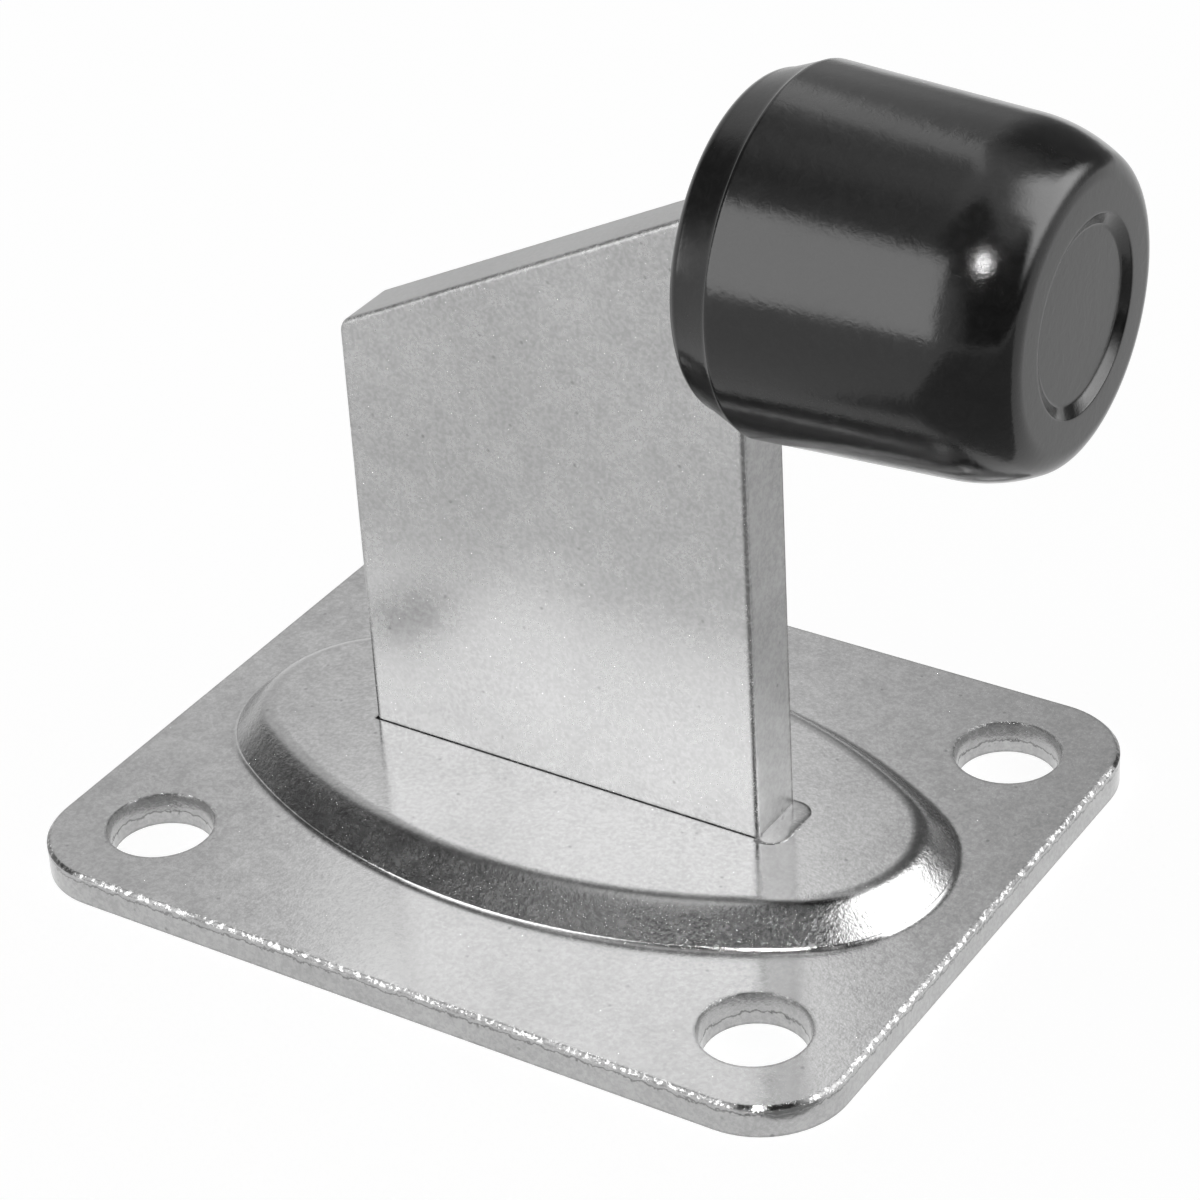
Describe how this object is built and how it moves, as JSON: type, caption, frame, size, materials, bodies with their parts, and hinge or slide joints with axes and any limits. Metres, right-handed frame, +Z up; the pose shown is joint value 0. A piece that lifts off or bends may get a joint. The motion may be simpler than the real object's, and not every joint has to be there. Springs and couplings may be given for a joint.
{
  "type": "gate stop",
  "caption": "Screw-down gate stop: flat foot plate with a raised oval, steel upright with a sloping top and a round rubber buffer.",
  "frame": {"origin": "middle of the four fixing holes, on the underside of the foot plate, which lies on the ground", "axes": "+Z up, +X the way the buffer points, along the long side of the foot plate"},
  "size_m": [0.0885, 0.064, 0.0774],
  "materials": {
    "zinc_sheet": "bright zinc plating, mottled",
    "zinc_bar": "bright zinc plating, mottled",
    "zinc_weld": "plated weld",
    "black_rubber": "smooth moulded, glossy"
  },
  "bodies": {
    "root": {"base_plate": "zinc_sheet", "upright": "zinc_bar", "weld_bead": "zinc_weld", "buffer": "black_rubber"}
  },
  "joints": []
}
